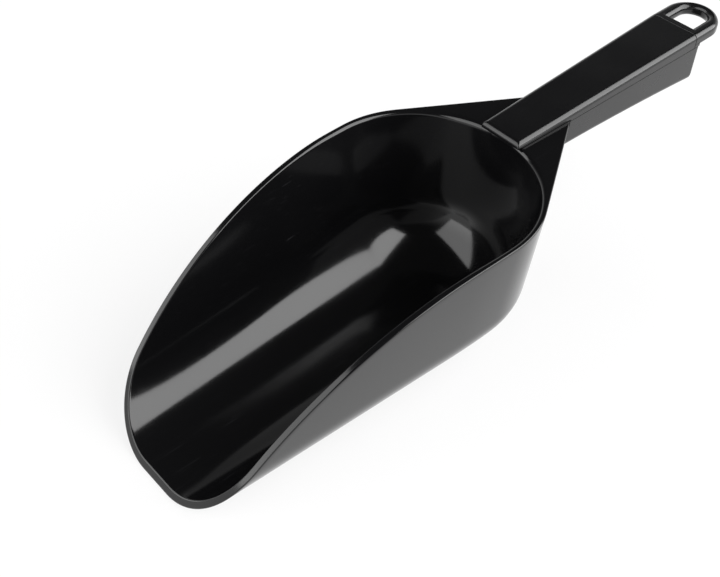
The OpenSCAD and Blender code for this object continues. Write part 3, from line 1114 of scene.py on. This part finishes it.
def make_world():
    """Soft light from a pale room that is bright low down and dark overhead."""
    world = bpy.data.worlds.new("studio")
    bpy.context.scene.world = world
    tree = clear_nodes(world)
    coords = add_node(tree, "ShaderNodeTexCoord").outputs["Generated"]
    height = add_node(tree, "ShaderNodeSeparateXYZ", {0: coords}).outputs["Z"]
    fade = add_node(
        tree,
        "ShaderNodeMapRange",
        {"Value": height, "From Min": 0.05, "From Max": 0.6, "To Min": 1.0, "To Max": 0.03},
        interpolation_type="SMOOTHSTEP",
    )
    back = add_node(tree, "ShaderNodeBackground", {"Color": (1, 1, 1, 1), "Strength": fade.outputs[0]})
    add_node(tree, "ShaderNodeOutputWorld", {"Surface": back.outputs[0]})


# ---- Operators ----


class SCOOP_OT_bowl(bpy.types.Operator):
    """Builds the bowl with its flange and tang"""

    bl_idname = "scoop.bowl"
    bl_label = "Bowl"
    bl_options = {"REGISTER", "UNDO"}

    def execute(self, context):
        material = bowl_plastic(context.scene.scoop_finish)
        bowl = make_bowl(context.scene.scoop_bowl, context.scene.scoop_handle, material)
        finish_piece(bowl, material, "bowl_plastic", "bowl")
        return {"FINISHED"}


class SCOOP_OT_grip(bpy.types.Operator):
    """Builds the grip's shell and its bosses"""

    bl_idname = "scoop.grip"
    bl_label = "Grip"
    bl_options = {"REGISTER", "UNDO"}

    def execute(self, context):
        s, h = context.scene.scoop_bowl, context.scene.scoop_handle
        material = grip_plastic(context.scene.scoop_finish)
        finish_piece(make_grip(s, h), material, "grip_plastic", "grip_shell")
        spans = [(y, -grip_depth(h, y) + MM, top - SEAT) for y, top in zip(PEG_AT, boss_tops(s))]
        bosses = make_pins("grip_bosses", spans, h.boss / 2, h.peg / 2 + PEG_FIT, material)
        finish_piece(bosses, material, "grip_plastic")
        return {"FINISHED"}


class SCOOP_OT_cover(bpy.types.Operator):
    """Builds the handle's cover and its pegs"""

    bl_idname = "scoop.cover"
    bl_label = "Cover"
    bl_options = {"REGISTER", "UNDO"}

    def execute(self, context):
        s, h = context.scene.scoop_bowl, context.scene.scoop_handle
        material = cover_plastic(context.scene.scoop_finish)
        finish_piece(make_cover(s, h), material, "cover_plastic", "handle_cover")
        roots = (PEG_ROOT, PEG_ROOT, h.tongue + PEG_ROOT)
        spans = [(y, top - PEG_DEEP, root) for y, top, root in zip(PEG_AT, boss_tops(s), roots)]
        finish_piece(make_pins("cover_pegs", spans, h.peg / 2, 0.0, material), material, "cover_plastic")
        return {"FINISHED"}


class SCOOP_OT_loop(bpy.types.Operator):
    """Builds the hang loop with its foot and tongue"""

    bl_idname = "scoop.loop"
    bl_label = "Hang loop"
    bl_options = {"REGISTER", "UNDO"}

    def execute(self, context):
        h = context.scene.scoop_handle
        material = loop_plastic(context.scene.scoop_finish)
        finish_piece(make_loop(h), material, "loop_plastic", "hang_loop")
        return {"FINISHED"}


class SCOOP_OT_stage(bpy.types.Operator):
    """Sets up the floor, the lights and the camera"""

    bl_idname = "scoop.stage"
    bl_label = "Stage"
    bl_options = {"REGISTER", "UNDO"}

    def execute(self, context):
        make_floor(context.scene.scoop_finish)
        make_world()
        make_camera()
        softbox("softbox_right", azimuth=38, elevation=34, distance=3, width=3.9, height=3.2, strength=5.2)
        softbox("softbox_left", azimuth=-112, elevation=33, distance=3, width=4.7, height=2.6, strength=2.7)
        context.scene.view_settings.view_transform = "Standard"
        return {"FINISHED"}


class SCOOP_PT_panel(bpy.types.Panel):
    """Lists the scoop's sizes and its builders"""

    bl_idname = "SCOOP_PT_panel"
    bl_label = "Ice scoop"
    bl_space_type = "VIEW_3D"
    bl_region_type = "UI"
    bl_category = "Scoop"

    def draw(self, context):
        """Draws each group's properties, then the buttons."""
        for name in GROUPS:
            group = getattr(context.scene, name)
            box = self.layout.box()
            for key in group.bl_rna.properties.keys():
                if key not in ("rna_type", "name"):
                    box.prop(group, key)
        for operator in OPERATORS:
            self.layout.operator(operator.bl_idname)


GROUPS = {"scoop_bowl": ScoopBowlSizes, "scoop_handle": ScoopHandleSizes, "scoop_finish": ScoopFinish}
OPERATORS = (SCOOP_OT_bowl, SCOOP_OT_grip, SCOOP_OT_cover, SCOOP_OT_loop, SCOOP_OT_stage)
CLASSES = (*GROUPS.values(), *OPERATORS, SCOOP_PT_panel)


def register():
    """Registers the classes and the scene's settings."""
    for item in CLASSES:
        bpy.utils.register_class(item)
    for name, group in GROUPS.items():
        setattr(bpy.types.Scene, name, bpy.props.PointerProperty(type=group))


def unregister():
    """Takes the settings and the classes away again."""
    for name in GROUPS:
        delattr(bpy.types.Scene, name)
    for item in reversed(CLASSES):
        bpy.utils.unregister_class(item)


def main():
    """Builds the scoop and its stage."""
    register()
    bpy.ops.scoop.bowl()
    bpy.ops.scoop.grip()
    bpy.ops.scoop.cover()
    bpy.ops.scoop.loop()
    bpy.ops.scoop.stage()
    bpy.context.view_layer.update()


if __name__ == "__main__":
    main()
